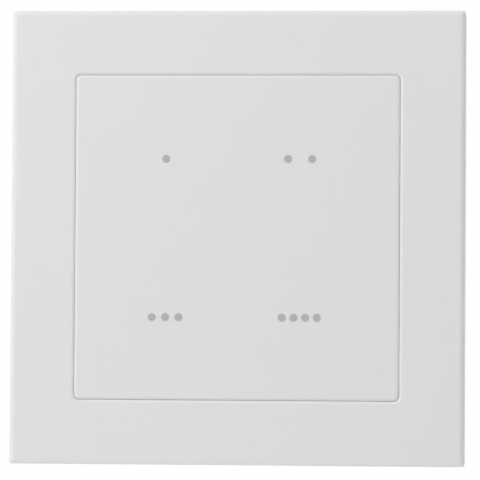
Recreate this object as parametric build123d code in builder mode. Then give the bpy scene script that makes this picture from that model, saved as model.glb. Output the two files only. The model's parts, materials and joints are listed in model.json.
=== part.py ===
from build123d import *
from math import radians, sin, sqrt
import os

# A square wall button with one key over four switches. It hangs on the wall plane y = 0 and
# faces -Y, with x to the right and z up. Every depth is counted from the wall towards the front.

# Driving dimensions, in millimetres and degrees

# Cover frame
frame_width = 84
frame_wall = 2.0
frame_front_wall = 2.0
frame_corner_radius = 0.45
frame_edge_radius = 0.95
frame_rear_gap = 0.5
collar_wall = 1.65
ledge_thickness = 1.2
frame_rib_thickness = 1.2
frame_rib_height = 2.5
frame_rib_shares = (-0.3, 0, 0.3)

# Key
key_width = 60
key_gap = 0.06
key_thickness = 2.0
key_corner_radius = 0.95
groove_half_width = 0.43
groove_depth = 0.22
groove_arris_radius = 0.12
skirt_wall = 1.4
skirt_height = 0.9
skirt_setback = 0.2
key_rib_thickness = 1.0
key_rib_height = 0.6
presser_radius = 2.6
presser_height = 0.4
tilt_limit = 0.5

# Zone marks, seen from the front
dot_radius = 0.72
dot_depth = 0.3
dot_fit = 0.01
dot_group_half_width = 12.4
dot_group_half_height = 14.62
dot_group_shift = -0.75
dot_group_rise = -0.15
pair_pitch = 4.42
triple_pitch = 2.48
quad_pitch = 2.16

# Wall plate
plate_thickness = 2.0
plate_clearance = 2.5
plate_corner_radius = 3.0
plate_rim_wall = 1.5
plate_rim_height = 1.2
wall_screw_spacing = 60
wall_screw_slot_width = 4.2
wall_screw_slot_length = 8.2
wall_screw_head_radius = 4.0
wall_screw_head_room = 3.2
wall_screw_clearance = 0.9
pad_thickness = 0.8
pad_width = 14
pad_side_margin = 9.5
pad_edge_margin = 3.5
pad_clearance = 0.2
core_depth = 0.8
core_rib = 1.2
core_margin = 2.9
core_corner_radius = 1.5
core_columns = 3
core_rows = 3

# Snap arms of the wall plate
arm_thickness = 1.2
arm_width = 8
arm_offset = 12
arm_gap = 0.3
arm_head = 0.4
catch_reach = 0.9
catch_length = 1.8
catch_rise = 1.0
catch_clearance = 0.3

# Module housings
module_gap = 0.2
housing_floor = 1.2
housing_wall = 1.6
module_corner_radius = 2.5
module_edge_chamfer = 0.5
module_clearance = 0.6
flange_thickness = 1.0
flange_clearance = 0.35
flange_corner_radius = 1.0
ledge_seat = 1.8
board_ledge = 1.2
board_ledge_width = 4

# Housing screws
screw_radius = 1.0
screw_head_radius = 1.9
screw_head_height = 1.2
screw_head_clearance = 0.2
screw_fit = 0.02
screw_engagement = 2.2
screw_recess_width = 0.5
screw_recess_depth = 0.6
screw_recess_length = 2.2
boss_radius = 2.3
boss_length = 3.0
post_wall = 0.9
boss_clearance = 0.5

# Circuit board and what it carries
board_thickness = 1.0
board_clearance = 0.6
board_corner_radius = 1.0
shield_length = 13
shield_width = 11
shield_height = 1.8
shield_sheet = 0.2
radio_chip_width = 5
radio_chip_height = 0.85
radio_chip_shift = -2.5
solder_gap = 2.1
crystal_length = 3.2
crystal_width = 2.5
crystal_height = 0.7
crystal_shift = 3.6
antenna_length = 7
antenna_width = 2.2
antenna_height = 1.0
antenna_edge_gap = 0.5
chip_part_length = 1.6
chip_part_width = 0.8
chip_part_height = 0.6
chip_part_pitch_x = 2.9
chip_part_pitch_z = 2.1
chip_part_rows = 3

# Coin cell, type 2032, with its contacts
cell_radius = 10
cell_height = 3.2
cell_sheet = 0.25
cell_crimp = 0.55
cell_cap_rise = 0.2
cell_seal_width = 0.4
gasket_wall = 0.4
cell_edge_gap = 5.55
cell_clearance = 0.25
cell_ring_wall = 1.0
cell_lip = 1.25
contact_height = 0.6
contact_sheet = 0.2
contact_width = 4
contact_foot = 2.5
contact_slope = 2.7
contact_pad = 1.6
clip_sheet = 0.3
clip_rise = 0.7
clip_width = 10
clip_foot = 2.0
clip_fit = 0.02
clip_room = 0.6

# Tactile switches
switch_spacing = 30
switch_width = 5.2
switch_body_height = 1.2
switch_sheet = 0.2
switch_floor = 0.3
switch_cavity_wall = 0.35
switch_flap_width = 3.0
switch_flap_height = 0.7
terminal_length = 0.8
terminal_width = 0.7
terminal_sheet = 0.15
terminal_rise = 0.4
terminal_inset = 0.8
terminal_clearance = 0.3
plunger_radius = 1.2
plunger_rise = 0.6
plunger_shoulder = 0.3
plunger_shoulder_height = 0.2
plunger_clearance = 0.1
dome_clearance = 0.15
dome_sheet = 0.1

# Silicone mat
mat_margin = 1.5
mat_corner_radius = 4
mat_web = 0.6
mat_pad_thickness = 1.1
mat_pad_radius = 3.0
mat_dome_wall = 0.8
mat_pocket_clearance = 0.52
mat_pocket_top_radius = 2.2
mat_pocket_side = 0.35
mat_shoulder = 0.5
mat_window_gap = 3.0
mat_pin_edge = 4.0
mat_pin_radius = 1.0
mat_pin_height = 0.8
mat_pin_clearance = 0.1

# Pivot under the middle of the key
pivot_rise = 0.45
hub_width = 6.4
hub_thickness = 2.2
hub_chamfer = 0.3
hub_clearance = 0.5
shoulder_radius = 1.15
shoulder_clearance = 0.5
stud_radius = 0.9
stud_fit = 0.03
stud_end_gap = 0.2
stud_tip_chamfer = 0.2
ear_distance = 7.5
ear_length = 3.0
ear_wall = 0.9
ear_lip = 0.55
ear_play = 0.1
ear_clearance = 0.45

# Stops that end the key's tilt
stop_width = 2.4
stop_gap = 1.7
stop_clearance = 0.12

# Depths of the stack, worked out from the wall to the front
module_back = plate_thickness + module_gap
floor_front = module_back + housing_floor
cell_front = floor_front + cell_height
board_back = cell_front + contact_height
board_front = board_back + board_thickness
flange_front = board_front + flange_thickness
switch_front = board_front + switch_body_height
plunger_front = switch_front + plunger_rise
mat_front = plunger_front + mat_pad_thickness
key_back = mat_front + presser_height
total_depth = key_back + key_thickness
ledge_front = board_front
ledge_back = ledge_front - ledge_thickness
frame_underside = total_depth - frame_front_wall
pivot_depth = flange_front + pivot_rise
boss_back = board_front - boss_length

# Widths worked out from the key outwards and inwards
opening_width = key_width + 2 * key_gap
opening_corner_radius = key_corner_radius + key_gap
collar_width = opening_width + 2 * collar_wall
flange_width = opening_width - 2 * flange_clearance
ledge_width = flange_width - 2 * ledge_seat
module_width = ledge_width - 2 * module_clearance
cavity_width = module_width - 2 * housing_wall
board_width = cavity_width - 2 * board_clearance
screw_spacing = cavity_width - 2 * (boss_radius + boss_clearance)
frame_inner_width = frame_width - 2 * frame_wall
plate_width = frame_inner_width - 2 * plate_clearance
skirt_width = key_width - 2 * skirt_setback
bore_radius = stud_radius + stud_fit
ear_radius = bore_radius + ear_wall
ear_end = ear_distance + ear_length
switch_base_width = switch_width - 2 * switch_sheet
switch_window_width = switch_base_width + 2 * (terminal_length + terminal_clearance)
switch_cavity_radius = switch_base_width / 2 - switch_cavity_wall
cell_ring_radius = cell_radius + cell_clearance
cell_z = cell_ring_radius + cell_ring_wall + cell_edge_gap - cavity_width / 2

# The two diagonals that the key tips about, seen from the front
rising_diagonal = (1, 0, 1)
falling_diagonal = (-1, 0, 1)


# A plane parallel to the wall: sketches read x to the right and z up, and grow to the front.
def at_depth(depth):
    return Plane(origin=(0, -depth, 0), x_dir=(1, 0, 0), z_dir=(0, -1, 0))


# An upright section through (x, z): sketches read x outwards and the depth upwards.
def section(x, z):
    return Plane(origin=(x, 0, z), x_dir=(1, 0, 0), z_dir=(0, 0, -1))


# A plane square to a diagonal, some way from the pivot: sketches read the depth upwards.
def across(diagonal, distance):
    middle = Plane(
        origin=(0, -pivot_depth, 0),
        x_dir=(-diagonal[2], 0, diagonal[0]),
        z_dir=diagonal,
    )
    return middle.offset(distance)


# The line through (x, z) square to the wall.
def depth_axis(x, z):
    return Axis((x, 0, z), (0, -1, 0))


def front_face(piece):
    return piece.faces().sort_by(Axis.Y)[0]


def back_face(piece):
    return piece.faces().sort_by(Axis.Y)[-1]


switch_places = [
    (x * switch_spacing / 2, z * switch_spacing / 2)
    for z in (1, -1)
    for x in (-1, 1)
]


# Wall plate: slotted screw holes, a cored back, posts under the frame's ledge and four snap arms
post_width = (collar_width - ledge_width) / 2
post_middle = (collar_width + ledge_width) / 4
arm_inner = module_width / 2 + arm_gap
arm_outer = arm_inner + arm_thickness
catch_tip = arm_inner - catch_reach
catch_back = floor_front + catch_rise
catch_front = catch_back + catch_length
arm_front = catch_front + arm_head
pad_length = plate_width - 2 * pad_side_margin
pad_offset = (plate_width - pad_width) / 2 - pad_edge_margin
core_pitch_x = (wall_screw_spacing - wall_screw_slot_length - 2 * core_margin) / core_columns
core_pitch_z = (2 * pad_offset - pad_width - core_margin) / core_rows

with BuildPart() as wall_plate:
    with BuildSketch(at_depth(0)):
        RectangleRounded(plate_width, plate_width, plate_corner_radius)
    extrude(amount=plate_thickness + plate_rim_height)
    with BuildSketch(at_depth(plate_thickness)):
        RectangleRounded(
            plate_width - 2 * plate_rim_wall,
            plate_width - 2 * plate_rim_wall,
            plate_corner_radius - plate_rim_wall,
        )
    extrude(amount=plate_rim_height, mode=Mode.SUBTRACT)
    with BuildSketch(at_depth(plate_thickness)):
        with GridLocations(2 * post_middle, 2 * post_middle, 2, 2):
            Rectangle(post_width, post_width)
    extrude(amount=ledge_back - plate_thickness)
    for side in (-1, 1):
        for x in (-arm_offset, arm_offset):
            with BuildSketch(Plane.YZ.offset(x)):
                with BuildLine():
                    Polyline(
                        (-plate_thickness, side * arm_inner),
                        (-catch_back, side * arm_inner),
                        (-catch_back, side * catch_tip),
                        (-catch_front, side * arm_inner),
                        (-arm_front, side * arm_inner),
                        (-arm_front, side * arm_outer),
                        (-plate_thickness, side * arm_outer),
                        close=True,
                    )
                make_face()
            extrude(amount=arm_width / 2, both=True)
    with BuildSketch(at_depth(0)):
        with GridLocations(wall_screw_spacing, 0, 2, 1):
            SlotOverall(wall_screw_slot_length, wall_screw_slot_width)
    extrude(amount=plate_thickness, mode=Mode.SUBTRACT)
    with BuildSketch(at_depth(0)):
        with GridLocations(0, 2 * pad_offset, 1, 2):
            Rectangle(pad_length + 2 * pad_clearance, pad_width + 2 * pad_clearance)
    extrude(amount=pad_thickness, mode=Mode.SUBTRACT)
    with BuildSketch(at_depth(0)):
        with GridLocations(core_pitch_x, core_pitch_z, core_columns, core_rows):
            RectangleRounded(core_pitch_x - core_rib, core_pitch_z - core_rib, core_corner_radius)
    extrude(amount=core_depth, mode=Mode.SUBTRACT)

# Adhesive pads, flush with the plate's back
with BuildPart() as adhesive_pads:
    with BuildSketch(at_depth(0)):
        with GridLocations(0, 2 * pad_offset, 1, 2):
            Rectangle(pad_length, pad_width)
    extrude(amount=pad_thickness)

# Cover frame: a front wall with a turned-back rim outside and a collar with a ledge inside
frame_rib_length = (frame_inner_width - collar_width) / 2
frame_rib_middle = (frame_inner_width + collar_width) / 4

with BuildPart() as cover_frame:
    with BuildSketch(at_depth(frame_rear_gap)):
        Rectangle(frame_width, frame_width)
    extrude(amount=total_depth - frame_rear_gap)
    fillet(front_face(cover_frame).edges(), frame_edge_radius)
    mitres = cover_frame.edges().filter_by(GeomType.LINE, reverse=True)
    fillet(cover_frame.edges().filter_by(Axis.Y) + mitres, frame_corner_radius)
    with BuildSketch(at_depth(frame_rear_gap)):
        Rectangle(frame_inner_width, frame_inner_width)
    extrude(amount=frame_underside - frame_rear_gap, mode=Mode.SUBTRACT)
    with BuildSketch(at_depth(ledge_back)):
        RectangleRounded(collar_width, collar_width, opening_corner_radius + collar_wall)
    extrude(amount=frame_underside - ledge_back)
    with BuildSketch(at_depth(frame_underside - frame_rib_height)):
        for share in frame_rib_shares:
            with PolarLocations(0, 4):
                with Locations((frame_rib_middle, share * frame_width)):
                    Rectangle(frame_rib_length, frame_rib_thickness)
    extrude(amount=frame_rib_height)
    with BuildSketch(at_depth(ledge_front)):
        RectangleRounded(opening_width, opening_width, opening_corner_radius)
    extrude(amount=total_depth - ledge_front, mode=Mode.SUBTRACT)
    with BuildSketch(at_depth(ledge_back)):
        RectangleRounded(ledge_width, ledge_width, module_corner_radius)
    extrude(amount=ledge_thickness, mode=Mode.SUBTRACT)
    opening_front = front_face(cover_frame)
    rim = opening_front.inner_wires()[0].edges()
    chamfer(rim, groove_half_width, groove_depth, reference=opening_front)
    fillet(front_face(cover_frame).inner_wires()[0].edges(), groove_arris_radius)

# Rear housing: a tray that holds the coin cell behind the circuit board
screw_post_radius = screw_head_radius + screw_head_clearance + post_wall
head_recess_front = module_back + screw_head_height + screw_head_clearance
relief_inner = min(
    wall_screw_spacing / 2 - wall_screw_head_radius - wall_screw_clearance, cavity_width / 2
)
relief_half_height = wall_screw_head_radius + wall_screw_clearance
relief_front = plate_thickness + wall_screw_head_room
relief_block = module_width / 2 - relief_inner + housing_floor
relief_middle = module_width / 2 - relief_block / 2

with BuildPart() as rear_housing:
    with BuildSketch(at_depth(module_back)):
        RectangleRounded(module_width, module_width, module_corner_radius)
    extrude(amount=board_front - module_back)
    chamfer(back_face(rear_housing).edges(), module_edge_chamfer)
    with BuildSketch(at_depth(floor_front)):
        RectangleRounded(cavity_width, cavity_width, module_corner_radius - housing_wall)
    extrude(amount=board_front - floor_front, mode=Mode.SUBTRACT)
    with BuildSketch(at_depth(floor_front)):
        with Locations((0, cell_z)):
            Circle(cell_ring_radius + cell_ring_wall)
            Circle(cell_ring_radius, mode=Mode.SUBTRACT)
            with Locations((-cell_ring_radius, 0)):
                Rectangle(
                    2 * (cell_ring_wall + clip_room), clip_width + 2 * clip_room, mode=Mode.SUBTRACT
                )
    extrude(amount=cell_height)
    with BuildSketch(at_depth(floor_front)):
        with GridLocations(screw_spacing, screw_spacing, 2, 2):
            Circle(screw_post_radius)
        Rectangle(cavity_width, cavity_width, mode=Mode.INTERSECT)
    extrude(amount=boss_back - floor_front)
    with BuildSketch(at_depth(floor_front)):
        with GridLocations(2 * relief_middle, 0, 2, 1):
            Rectangle(relief_block, 2 * (relief_half_height + housing_floor))
        with GridLocations(0, cavity_width - board_clearance - board_ledge, 1, 2):
            Rectangle(board_ledge_width, board_clearance + board_ledge)
    extrude(amount=board_back - floor_front)
    with BuildSketch(at_depth(module_back)):
        with GridLocations(2 * (relief_inner + relief_block / 2), 0, 2, 1):
            Rectangle(relief_block, 2 * relief_half_height)
    extrude(amount=relief_front - module_back, mode=Mode.SUBTRACT)
    with BuildSketch(at_depth(module_back)):
        with Locations((0, cell_z)):
            Circle(cell_ring_radius)
            Rectangle(
                2 * cell_ring_radius, 2 * (cell_ring_radius - cell_lip), mode=Mode.INTERSECT
            )
    extrude(amount=housing_floor, mode=Mode.SUBTRACT)
    with BuildSketch(at_depth(module_back)):
        with GridLocations(screw_spacing, screw_spacing, 2, 2):
            Circle(screw_head_radius + screw_head_clearance)
    extrude(amount=head_recess_front - module_back, mode=Mode.SUBTRACT)
    with BuildSketch(at_depth(module_back)):
        with GridLocations(screw_spacing, screw_spacing, 2, 2):
            Circle(screw_radius + screw_head_clearance)
    extrude(amount=boss_back - module_back, mode=Mode.SUBTRACT)
    with BuildSketch(at_depth(catch_back)):
        with GridLocations(2 * arm_offset, module_width, 2, 2):
            Rectangle(arm_width + 2 * catch_clearance, 2 * (catch_reach + catch_clearance))
    extrude(amount=catch_length + catch_clearance, mode=Mode.SUBTRACT)

# Front housing: the flange that clamps the frame, with bearings, stops, pins and switch windows
mat_pocket_radius = switch_width / sqrt(2) + mat_pocket_clearance
mat_dome_radius = mat_pocket_radius + mat_dome_wall
mat_width = switch_spacing + 2 * (mat_dome_radius + mat_margin)
mat_pin_offset = mat_width / 2 - mat_pin_edge
stop_spacing = skirt_width - 2 * (skirt_wall + stop_gap) - stop_width
stop_reach = stop_spacing / sqrt(2)
stop_front = key_back - (stop_reach + stop_width) * sin(radians(tilt_limit)) - stop_clearance

with BuildPart() as front_housing:
    with BuildSketch(at_depth(board_front)):
        RectangleRounded(flange_width, flange_width, flange_corner_radius)
    extrude(amount=flange_thickness)
    with BuildSketch(at_depth(flange_front)):
        with GridLocations(stop_spacing, stop_spacing, 2, 2):
            Rectangle(stop_width, stop_width)
    extrude(amount=stop_front - flange_front)
    with BuildSketch(at_depth(flange_front)):
        with PolarLocations(mat_pin_offset, 4):
            Circle(mat_pin_radius)
    extrude(amount=mat_pin_height)
    with BuildSketch(at_depth(board_front)):
        with GridLocations(screw_spacing, screw_spacing, 2, 2):
            Circle(boss_radius)
    extrude(amount=-boss_length)
    with BuildSketch(at_depth(boss_back)):
        with GridLocations(screw_spacing, screw_spacing, 2, 2):
            Circle(screw_radius + screw_fit)
    extrude(amount=boss_length, mode=Mode.SUBTRACT)
    with BuildSketch(at_depth(board_front)):
        with GridLocations(switch_spacing, switch_spacing, 2, 2):
            Rectangle(switch_window_width, switch_window_width)
        Circle(hub_width / sqrt(2) + hub_clearance)
        Rectangle(2 * ear_distance, 2 * (shoulder_radius + shoulder_clearance), rotation=45)
        Rectangle(2 * (ear_end + ear_clearance), 2 * (ear_radius + ear_clearance), rotation=-45)
    extrude(amount=flange_thickness, mode=Mode.SUBTRACT)
    for side in (-1, 1):
        with BuildSketch(across(rising_diagonal, side * ear_distance)):
            Circle(ear_radius)
            Rectangle(2 * ear_radius, pivot_rise, align=(Align.CENTER, Align.MAX))
            with Locations((0, ear_lip)):
                Rectangle(
                    2 * ear_radius,
                    ear_radius,
                    align=(Align.CENTER, Align.MIN),
                    mode=Mode.SUBTRACT,
                )
            with Locations((0, -pivot_rise)):
                Rectangle(
                    2 * ear_radius,
                    2 * ear_radius,
                    align=(Align.CENTER, Align.MAX),
                    mode=Mode.SUBTRACT,
                )
        extrude(amount=side * ear_length)
    with BuildSketch(across(rising_diagonal, 0)):
        Circle(bore_radius)
    extrude(amount=ear_end + ear_play, both=True, mode=Mode.SUBTRACT)

# Housing screws, driven from the back
with BuildPart() as housing_screws:
    with BuildSketch(at_depth(head_recess_front - screw_head_height)):
        with GridLocations(screw_spacing, screw_spacing, 2, 2):
            Circle(screw_head_radius)
    extrude(amount=screw_head_height)
    with BuildSketch(at_depth(head_recess_front)):
        with GridLocations(screw_spacing, screw_spacing, 2, 2):
            Circle(screw_radius)
    extrude(amount=boss_back + screw_engagement - head_recess_front)
    with BuildSketch(at_depth(head_recess_front - screw_head_height)):
        with GridLocations(screw_spacing, screw_spacing, 2, 2):
            Rectangle(screw_recess_length, screw_recess_width)
            Rectangle(screw_recess_width, screw_recess_length)
    extrude(amount=screw_recess_depth, mode=Mode.SUBTRACT)

# Circuit board, notched at its corners for the screw bosses
with BuildPart() as circuit_board:
    with BuildSketch(at_depth(board_back)):
        RectangleRounded(board_width, board_width, board_corner_radius)
        with GridLocations(screw_spacing, screw_spacing, 2, 2):
            Circle(boss_radius + boss_clearance, mode=Mode.SUBTRACT)
        with GridLocations(board_width, board_width, 2, 2):
            Rectangle(
                board_width - screw_spacing, board_width - screw_spacing, mode=Mode.SUBTRACT
            )
    extrude(amount=board_thickness)

# Parts soldered to the back of the board, in the band between the coin cell and the board's edge
board_edge = board_width / 2
boss_edge = screw_spacing / 2 - boss_radius - solder_gap
band_z = (board_edge + cell_z + cell_ring_radius + cell_ring_wall) / 2
shield_x = shield_length / 2 - boss_edge
chip_parts_start = shield_x + shield_length / 2 + solder_gap
chip_part_columns = 1 + int((boss_edge - chip_parts_start - chip_part_length) / chip_part_pitch_x)
with BuildPart() as radio_chip:
    with BuildSketch(at_depth(board_back)):
        with Locations((shield_x + radio_chip_shift, band_z)):
            Rectangle(radio_chip_width, radio_chip_width)
    extrude(amount=-radio_chip_height)

with BuildPart() as radio_shield:
    with BuildSketch(at_depth(board_back)):
        with Locations((shield_x, band_z)):
            Rectangle(shield_length, shield_width)
    extrude(amount=-shield_height)
    with BuildSketch(at_depth(board_back)):
        with Locations((shield_x, band_z)):
            Rectangle(shield_length - 2 * shield_sheet, shield_width - 2 * shield_sheet)
    extrude(amount=shield_sheet - shield_height, mode=Mode.SUBTRACT)

with BuildPart() as crystal:
    with BuildSketch(at_depth(board_back)):
        with Locations((shield_x + crystal_shift, band_z)):
            Rectangle(crystal_length, crystal_width)
    extrude(amount=-crystal_height)

with BuildPart() as chip_antenna:
    with BuildSketch(at_depth(board_back)):
        with Locations((boss_edge, board_edge - antenna_edge_gap)):
            Rectangle(antenna_length, antenna_width, align=(Align.MAX, Align.MAX))
    extrude(amount=-antenna_height)

with BuildPart() as chip_parts:
    with BuildSketch(at_depth(board_back)):
        with Locations(((chip_parts_start + boss_edge) / 2, band_z)):
            with GridLocations(
                chip_part_pitch_x, chip_part_pitch_z, chip_part_columns, chip_part_rows
            ):
                Rectangle(chip_part_length, chip_part_width)
    extrude(amount=-chip_part_height)

# Coin cell: can, gasket and cap, with the cap towards the board
crimp_front = cell_front - cell_cap_rise
can_inner_radius = cell_radius - cell_sheet
crimp_radius = can_inner_radius - cell_crimp
gasket_radius = can_inner_radius - gasket_wall
cell_cap_radius = crimp_radius - cell_seal_width

with BuildPart() as cell_can:
    with BuildSketch(section(0, cell_z)):
        with BuildLine():
            Polyline(
                (0, floor_front),
                (cell_radius, floor_front),
                (cell_radius, crimp_front),
                (crimp_radius, crimp_front),
                (crimp_radius, crimp_front - cell_sheet),
                (can_inner_radius, crimp_front - cell_sheet),
                (can_inner_radius, floor_front + cell_sheet),
                (0, floor_front + cell_sheet),
                close=True,
            )
        make_face()
    revolve(axis=depth_axis(0, cell_z))

with BuildPart() as cell_gasket:
    with BuildSketch(section(0, cell_z)):
        with BuildLine():
            Polyline(
                (gasket_radius, floor_front + cell_sheet),
                (can_inner_radius, floor_front + cell_sheet),
                (can_inner_radius, crimp_front - cell_sheet),
                (crimp_radius, crimp_front - cell_sheet),
                (crimp_radius, crimp_front),
                (cell_cap_radius, crimp_front),
                (cell_cap_radius, crimp_front - 2 * cell_sheet),
                (gasket_radius, crimp_front - 2 * cell_sheet),
                close=True,
            )
        make_face()
    revolve(axis=depth_axis(0, cell_z))

with BuildPart() as cell_cap:
    with BuildSketch(section(0, cell_z)):
        with BuildLine():
            Polyline(
                (0, floor_front + cell_sheet),
                (gasket_radius, floor_front + cell_sheet),
                (gasket_radius, crimp_front - 2 * cell_sheet),
                (cell_cap_radius, crimp_front - 2 * cell_sheet),
                (cell_cap_radius, crimp_front),
                (cell_cap_radius - cell_cap_rise, cell_front),
                (0, cell_front),
                close=True,
            )
        make_face()
    revolve(axis=depth_axis(0, cell_z))

# Cell contacts, soldered to the back of the board
clip_radius = cell_radius + clip_fit

with BuildPart() as battery_clip_positive:
    with BuildSketch(at_depth(board_back)):
        with Locations((0, cell_z)):
            Circle(clip_radius + clip_sheet)
            Circle(clip_radius, mode=Mode.SUBTRACT)
            with Locations((-clip_radius, 0)):
                Rectangle(2 * clip_radius, clip_width, mode=Mode.INTERSECT)
    extrude(amount=clip_rise - cell_height - contact_height)
    with BuildSketch(at_depth(board_back)):
        with Locations((-clip_radius, cell_z)):
            Rectangle(clip_sheet + clip_foot, contact_width, align=(Align.MAX, Align.CENTER))
        with Locations((0, cell_z)):
            Circle(clip_radius, mode=Mode.SUBTRACT)
    extrude(amount=-clip_sheet)

contact_start = contact_foot + contact_slope + contact_pad / 2

with BuildPart() as battery_contact_negative:
    with BuildSketch(section(0, cell_z)):
        with BuildLine():
            Polyline(
                (-contact_start, board_back),
                (-contact_start, board_back - contact_sheet),
                (contact_foot - contact_start, board_back - contact_sheet),
                (-contact_pad / 2, cell_front),
                (contact_pad / 2, cell_front),
                (contact_slope, board_back - contact_sheet),
                (contact_slope, board_back),
                (contact_pad / 2, cell_front + contact_sheet),
                (-contact_pad / 2, cell_front + contact_sheet),
                (contact_foot - contact_start, board_back),
                close=True,
            )
        make_face()
    extrude(amount=contact_width / 2, both=True)

# Tactile switches: bases, snap domes, covers and terminals, four of each
cavity_floor = board_front + switch_floor
cover_back = switch_front - switch_sheet
shoulder_back = cover_back - plunger_shoulder_height
dome_radius = switch_cavity_radius - dome_clearance
terminal_pitch = switch_base_width - 2 * terminal_inset

with BuildPart() as switch_bases:
    with BuildSketch(at_depth(board_front)):
        with GridLocations(switch_spacing, switch_spacing, 2, 2):
            Rectangle(switch_base_width, switch_base_width)
    extrude(amount=cover_back - board_front)
    with BuildSketch(at_depth(cavity_floor)):
        with GridLocations(switch_spacing, switch_spacing, 2, 2):
            Circle(switch_cavity_radius)
    extrude(amount=cover_back - cavity_floor, mode=Mode.SUBTRACT)

with BuildPart() as switch_domes:
    for x, z in switch_places:
        with BuildSketch(section(x, z)):
            with BuildLine():
                outer = TangentArc((0, shoulder_back), (dome_radius, cavity_floor), tangent=(1, 0))
                inner = TangentArc(
                    (0, shoulder_back - dome_sheet),
                    (dome_radius - 2 * dome_sheet, cavity_floor),
                    tangent=(1, 0),
                )
                Line(outer @ 1, inner @ 1)
                Line(outer @ 0, inner @ 0)
            make_face()
        revolve(axis=depth_axis(x, z))

with BuildPart() as switch_covers:
    with BuildSketch(at_depth(cover_back)):
        with GridLocations(switch_spacing, switch_spacing, 2, 2):
            Rectangle(switch_width, switch_base_width)
            Circle(plunger_radius + plunger_clearance, mode=Mode.SUBTRACT)
    extrude(amount=switch_sheet)
    with BuildSketch(at_depth(cover_back)):
        with GridLocations(switch_spacing, switch_spacing, 2, 2):
            Rectangle(switch_width, switch_flap_width)
            Rectangle(switch_base_width, switch_flap_width, mode=Mode.SUBTRACT)
    extrude(amount=-switch_flap_height)

with BuildPart() as switch_terminals:
    for side in (-1, 1):
        edge = side * switch_base_width / 2
        for x, z in switch_places:
            for shift in (-terminal_pitch / 2, terminal_pitch / 2):
                with BuildSketch(Plane.YZ.offset(x + shift)):
                    with BuildLine():
                        Polyline(
                            (-board_front, z + edge),
                            (-board_front, z + edge + side * terminal_length),
                            (-board_front - terminal_sheet, z + edge + side * terminal_length),
                            (-board_front - terminal_sheet, z + edge + side * terminal_sheet),
                            (-board_front - terminal_rise, z + edge + side * terminal_sheet),
                            (-board_front - terminal_rise, z + edge),
                            close=True,
                        )
                    make_face()
                extrude(amount=terminal_width / 2, both=True)

plungers = []
for x, z in switch_places:
    with BuildPart() as plunger:
        with BuildSketch(at_depth(shoulder_back)):
            with Locations((x, z)):
                Circle(plunger_radius + plunger_shoulder)
        extrude(amount=plunger_shoulder_height)
        with BuildSketch(at_depth(cover_back)):
            with Locations((x, z)):
                Circle(plunger_radius)
        extrude(amount=plunger_front - cover_back)
        fillet(front_face(plunger).edges(), plunger_clearance)
    plungers.append(plunger)

# Silicone mat: a web with a domed pad over each switch
web_front = flange_front + mat_web
mat_window_radius = ear_end + mat_window_gap
pocket_side_front = switch_front + mat_pocket_side

with BuildPart() as silicone_mat:
    with BuildSketch(at_depth(flange_front)):
        RectangleRounded(mat_width, mat_width, mat_corner_radius)
        Circle(mat_window_radius, mode=Mode.SUBTRACT)
        with PolarLocations(mat_pin_offset, 4):
            Circle(mat_pin_radius + mat_pin_clearance, mode=Mode.SUBTRACT)
    extrude(amount=mat_web)
    for x, z in switch_places:
        with BuildSketch(section(x, z)):
            with BuildLine():
                Polyline(
                    (0, flange_front),
                    (mat_dome_radius, flange_front),
                    (mat_dome_radius, web_front),
                    (mat_pocket_radius, pocket_side_front + mat_shoulder),
                    (mat_pad_radius, mat_front - mat_shoulder),
                    (mat_pad_radius, mat_front),
                    (0, mat_front),
                    close=True,
                )
            make_face()
        revolve(axis=depth_axis(x, z))
        with BuildSketch(section(x, z)):
            with BuildLine():
                Polyline(
                    (0, flange_front),
                    (mat_pocket_radius, flange_front),
                    (mat_pocket_radius, pocket_side_front),
                    (mat_pocket_top_radius, plunger_front),
                    (0, plunger_front),
                    close=True,
                )
            make_face()
        revolve(axis=depth_axis(x, z), mode=Mode.SUBTRACT)

# Pivot cross: the rising studs turn in the front housing, the falling ones carry the key
stud_end = ear_end - stud_end_gap
shoulder_end = ear_distance - ear_play

with BuildPart() as pivot_cross:
    with BuildSketch(at_depth(pivot_depth - hub_thickness / 2)):
        Rectangle(hub_width, hub_width, rotation=45)
    extrude(amount=hub_thickness)
    chamfer(front_face(pivot_cross).edges(), hub_chamfer)
    chamfer(back_face(pivot_cross).edges(), hub_chamfer)
    for diagonal in (rising_diagonal, falling_diagonal):
        with BuildSketch(across(diagonal, 0)):
            Circle(shoulder_radius)
        extrude(amount=shoulder_end, both=True)
        with BuildSketch(across(diagonal, 0)):
            Circle(stud_radius)
        extrude(amount=stud_end, both=True)
        tips = pivot_cross.faces().sort_by(Axis((0, 0, 0), diagonal))
        chamfer(tips[0].edges() + tips[-1].edges(), stud_tip_chamfer)

# Key plate: one flush key with a skirt, ribs, four pressers and two bearings on the cross
key_rib_start = ear_distance
key_rib_length = skirt_width / 2 - key_rib_start
dot_pitches = (pair_pitch, pair_pitch, triple_pitch, quad_pitch)
dot_places = []
for count, pitch in enumerate(dot_pitches, start=1):
    side = 1 if count % 2 == 0 else -1
    rise = 1 if count < 3 else -1
    start = side * dot_group_half_width + dot_group_shift - (count - 1) * pitch / 2
    for step in range(count):
        dot_places.append((start + step * pitch, rise * dot_group_half_height + dot_group_rise))

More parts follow.
